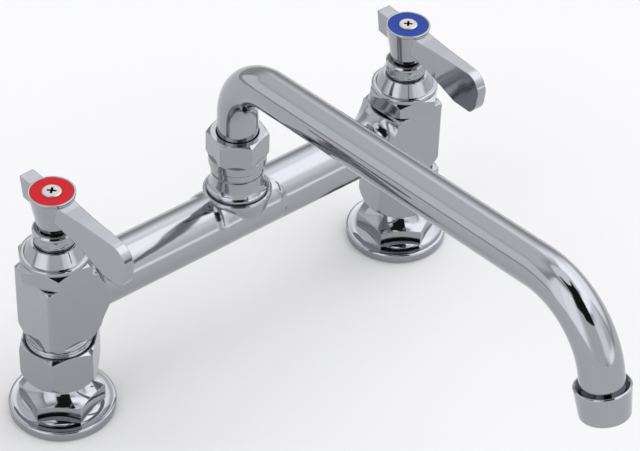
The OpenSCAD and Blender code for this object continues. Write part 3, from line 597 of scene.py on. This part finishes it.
def extrude(direction, *lengths):
    """Extrudes what is selected in edit mode, once for each length."""
    for length in lengths:
        step = {"value": [axis * length for axis in direction]}
        bpy.ops.mesh.extrude_region_move(TRANSFORM_OT_translate=step)


def close_shape():
    """Merges doubled points in edit mode, points the faces outwards and leaves edit mode."""
    bpy.ops.mesh.select_all(action="SELECT")
    bpy.ops.mesh.remove_doubles(threshold=MERGE)
    bpy.ops.mesh.normals_make_consistent(inside=False)
    bpy.ops.object.mode_set(mode="OBJECT")


class FAUCET_OT_spout(bpy.types.Operator):
    """Draw the spout's tube through its two bends in one smooth skin"""

    bl_idname = "faucet.spout"
    bl_label = "Bend the spout"

    def execute(self, context):
        spout = context.scene.faucet_spout
        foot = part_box("spout_tube")[0].z
        bpy.ops.object.select_all(action="DESELECT")
        bpy.ops.mesh.primitive_circle_add(
            vertices=TUBE_SIDES, radius=spout.across / 2, location=(0, 0, foot)
        )
        tube = context.object
        tube.name = "bent_spout_tube"
        bpy.ops.object.transform_apply(location=True)
        bpy.ops.object.mode_set(mode="EDIT")
        extrude((0, 0, 1), spout.riser - BEND_LAP, BEND_LAP)
        start = Vector((0, 0, foot + spout.riser))
        first = math.radians(90) - spout.rise
        centre = start + Vector((0, -spout.first_bend, 0))
        bpy.ops.mesh.spin(steps=BEND_STEPS, angle=first, center=centre, axis=(-1, 0, 0))
        turn = Matrix.Rotation(first, 3, "X")
        start = centre + turn @ (start - centre)
        ahead = turn @ Vector((0, 0, 1))
        extrude(ahead, BEND_LAP, spout.run - 2 * BEND_LAP, BEND_LAP)
        start += ahead * spout.run
        second = math.radians(90) + spout.rise - spout.lean
        centre = start + turn @ Vector((0, -spout.second_bend, 0))
        bpy.ops.mesh.spin(steps=BEND_STEPS, angle=second, center=centre, axis=(-1, 0, 0))
        ahead = Matrix.Rotation(second, 3, "X") @ ahead
        extrude(ahead, BEND_LAP, spout.outlet - BEND_LAP)
        close_shape()
        wall = tube.modifiers.new("wall", "SOLIDIFY")
        wall.thickness = spout.wall
        wall.offset = -1
        bpy.ops.object.modifier_apply(modifier=wall.name)
        bpy.ops.object.shade_smooth_by_angle(angle=TUBE_SMOOTH)
        tube.data.materials.append(drawn_chrome())
        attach(tube, "spout")
        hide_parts("spout_tube")
        return {"FINISHED"}


class FAUCET_OT_threads(bpy.types.Operator):
    """Cut the thread that shows on each tail, over its coupling nut"""

    bl_idname = "faucet.threads"
    bl_label = "Cut the threads"

    def execute(self, context):
        thread = context.scene.faucet_thread
        for side, sign in SIDES.items():
            bpy.ops.object.select_all(action="DESELECT")
            bpy.ops.mesh.primitive_circle_add(
                vertices=4, radius=thread.depth, location=(thread.root, 0, 0),
                rotation=(math.radians(90), 0, 0),
            )
            ridge = context.object
            ridge.name = f"{side}_tail_thread"
            bpy.ops.object.transform_apply(location=True, rotation=True)
            winding = ridge.modifiers.new("winding", "SCREW")
            winding.axis = "Z"
            winding.screw_offset = thread.pitch
            winding.iterations = thread.turns
            winding.steps = THREAD_STEPS
            winding.render_steps = THREAD_STEPS
            winding.use_smooth_shade = False
            bpy.ops.object.modifier_apply(modifier=winding.name)
            ridge.location = (sign * INLET_X, 0, thread.bottom)
            bpy.ops.object.transform_apply(location=True)
            bpy.ops.object.mode_set(mode="EDIT")
            bpy.ops.mesh.select_all(action="SELECT")
            bpy.ops.mesh.fill_holes(sides=4)
            close_shape()
            bpy.ops.object.shade_smooth_by_angle(angle=THREAD_SMOOTH)
            ridge.data.materials.append(
                turned_chrome(f"chrome plate on cut thread, {side}", sign * INLET_X)
            )
            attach(ridge, "root")
        return {"FINISHED"}


class FAUCET_OT_inside(bpy.types.Operator):
    """Give the valves, seals, screws and index rings their own materials"""

    bl_idname = "faucet.inside"
    bl_label = "Finish the inner pieces"

    def execute(self, context):
        colours = context.scene.faucet_inside
        brass = turned_brass()
        rubber = moulded_rubber()
        ceramic = lapped_ceramic()
        plastic = moulded_plastic()
        for side, sign in SIDES.items():
            for piece in ("cartridge_body", "stem"):
                finish(f"{side}_{piece}", brass)
            for piece in ("union_washer", "seat_seal", "bonnet_gasket", "stem_o_ring"):
                finish(f"{side}_{piece}", rubber)
            for piece in ("fixed_disc", "turning_disc"):
                finish(f"{side}_{piece}", ceramic)
            finish(f"{side}_packing", plastic)
            screw = f"{side}_handle_screw"
            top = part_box(screw)[1].z
            finish(screw, turned_steel(f"turned stainless steel, {side}", sign * INLET_X, top))
        finish("hot_index_ring", index_plastic("moulded red plastic", colours.red))
        finish("cold_index_ring", index_plastic("moulded blue plastic", colours.blue))
        for node in ("spout_o_rings", "aerator_washer"):
            finish(node, rubber)
        for node in ("slip_washer", "aerator_housing"):
            finish(node, plastic)
        finish("spout_sleeve", brass)
        finish("aerator_screen", wire_steel())
        return {"FINISHED"}


def towards(tree, way, heading):
    """How far a direction points towards a heading in degrees, from -1 to 1."""
    angle = math.radians(heading)
    reach = add_node(tree, "ShaderNodeVectorMath", {0: way}, operation="DOT_PRODUCT")
    reach.inputs[1].default_value = (math.cos(angle), math.sin(angle), 0)
    return reach.outputs["Value"]


def shine(tree, light, mask, brightness):
    """Sets the tent's light to a brightness where the mask is 1."""
    mix = add_node(tree, "ShaderNodeMix", {0: mask, 2: light}, data_type="FLOAT", B=brightness)
    return mix.outputs[0]


class FAUCET_OT_studio(bpy.types.Operator):
    """Set up the floor, the soft light and the camera"""

    bl_idname = "faucet.studio"
    bl_label = "Set up the studio"

    def execute(self, context):
        studio = context.scene.faucet_studio
        self.add_floor(studio)
        self.add_light(context, studio)
        self.add_camera(context, studio)
        context.scene.view_settings.view_transform = "Standard"
        return {"FINISHED"}

    def add_floor(self, studio):
        bpy.ops.object.select_all(action="DESELECT")
        bpy.ops.mesh.primitive_plane_add(size=FLOOR_SIDE, location=(0, 0, 0))
        floor = bpy.context.object
        floor.name = "studio_floor"
        material, tree, shader, place = new_material("matt pale floor")
        set_sockets(shader, Base_Color=studio.floor, Specular_IOR_Level=0.2)
        vary_roughness(tree, shader, place, low=0.75, high=0.85, size=60)
        floor.data.materials.append(material)

    def add_light(self, context, studio):
        world = bpy.data.worlds.new("white tent")
        world.use_nodes = True
        context.scene.world = world
        tree = world.node_tree
        way = add_node(tree, "ShaderNodeTexCoord").outputs["Generated"]
        axes = add_node(tree, "ShaderNodeSeparateXYZ", {"Vector": way}).outputs
        heading = add_node(
            tree, "ShaderNodeMath", {0: axes["Y"], 1: axes["X"]}, operation="ARCTAN2"
        ).outputs["Value"]
        height = add_node(tree, "ShaderNodeMath", {0: axes["Z"]}, operation="ARCSINE").outputs["Value"]
        light = add_node(tree, "ShaderNodeValue").outputs["Value"]
        light.default_value = TENT
        for brightness, headings, heights, upright_blur, level_blur in PANELS:
            across = between_angles(tree, heading, headings, upright_blur)
            up = between_angles(tree, height, heights, level_blur)
            light = shine(tree, light, overlap(tree, across, up), brightness)
        aside = towards(tree, way, GAP_HEADING + 90)
        across = between(tree, aside, -GAP_HALF_WIDTH, GAP_HALF_WIDTH, GAP_BLUR)
        ahead = between(tree, towards(tree, way, GAP_HEADING), 0, 1, GAP_BLUR)
        up = between_angles(tree, height, GAP_HEIGHTS, GAP_HEIGHT_BLUR)
        light = shine(tree, light, overlap(tree, across, ahead, up), GAP_BRIGHTNESS)
        tree.links.new(light, tree.nodes["Background"].inputs["Strength"])
        tree.nodes["Background"].inputs["Color"].default_value = linear("#FCFCFF")

    def add_camera(self, context, studio):
        flat = studio.heading
        tall = studio.height
        back = Vector((math.sin(flat) * math.cos(tall), -math.cos(flat) * math.cos(tall), math.sin(tall)))
        across = Vector((math.cos(flat), math.sin(flat), 0))
        right = math.cos(studio.roll) * across + math.sin(studio.roll) * back.cross(across)
        turn = Matrix((right, back.cross(right), back)).transposed()
        bpy.ops.object.camera_add(location=Vector(studio.target) + back * studio.distance)
        camera = bpy.context.object
        camera.name = "studio_camera"
        camera.rotation_euler = turn.to_euler()
        camera.data.lens = studio.lens
        camera.data.sensor_width = SENSOR_WIDTH
        camera.data.clip_end = CAMERA_REACH
        context.scene.camera = camera


class FAUCET_PT_panel(bpy.types.Panel):
    """Lists the steps that dress the faucet"""

    bl_idname = "FAUCET_PT_panel"
    bl_label = "Bridge Faucet"
    bl_space_type = "VIEW_3D"
    bl_region_type = "UI"
    bl_category = "Faucet"

    def draw(self, context):
        scene = context.scene
        for title in GROUPS:
            group = getattr(scene, title)
            box = self.layout.box()
            for name in group.bl_rna.properties.keys():
                if name not in ("rna_type", "name"):
                    box.prop(group, name)
        for operator in OPERATORS:
            self.layout.operator(operator.bl_idname)


GROUPS = {
    "faucet_plating": FaucetPlating,
    "faucet_spout": FaucetSpout,
    "faucet_thread": FaucetThread,
    "faucet_inside": FaucetInside,
    "faucet_studio": FaucetStudio,
}
OPERATORS = (
    FAUCET_OT_plate,
    FAUCET_OT_spout,
    FAUCET_OT_threads,
    FAUCET_OT_inside,
    FAUCET_OT_studio,
)


def register():
    for name, group in GROUPS.items():
        bpy.utils.register_class(group)
        setattr(bpy.types.Scene, name, bpy.props.PointerProperty(type=group))
    for operator in OPERATORS:
        bpy.utils.register_class(operator)
    bpy.utils.register_class(FAUCET_PT_panel)


def unregister():
    bpy.utils.unregister_class(FAUCET_PT_panel)
    for operator in OPERATORS:
        bpy.utils.unregister_class(operator)
    for name, group in GROUPS.items():
        delattr(bpy.types.Scene, name)
        bpy.utils.unregister_class(group)


def main():
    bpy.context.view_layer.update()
    register()
    bpy.ops.faucet.studio()
    bpy.ops.faucet.plate()
    bpy.ops.faucet.spout()
    bpy.ops.faucet.threads()
    bpy.ops.faucet.inside()


if __name__ == "__main__":
    main()
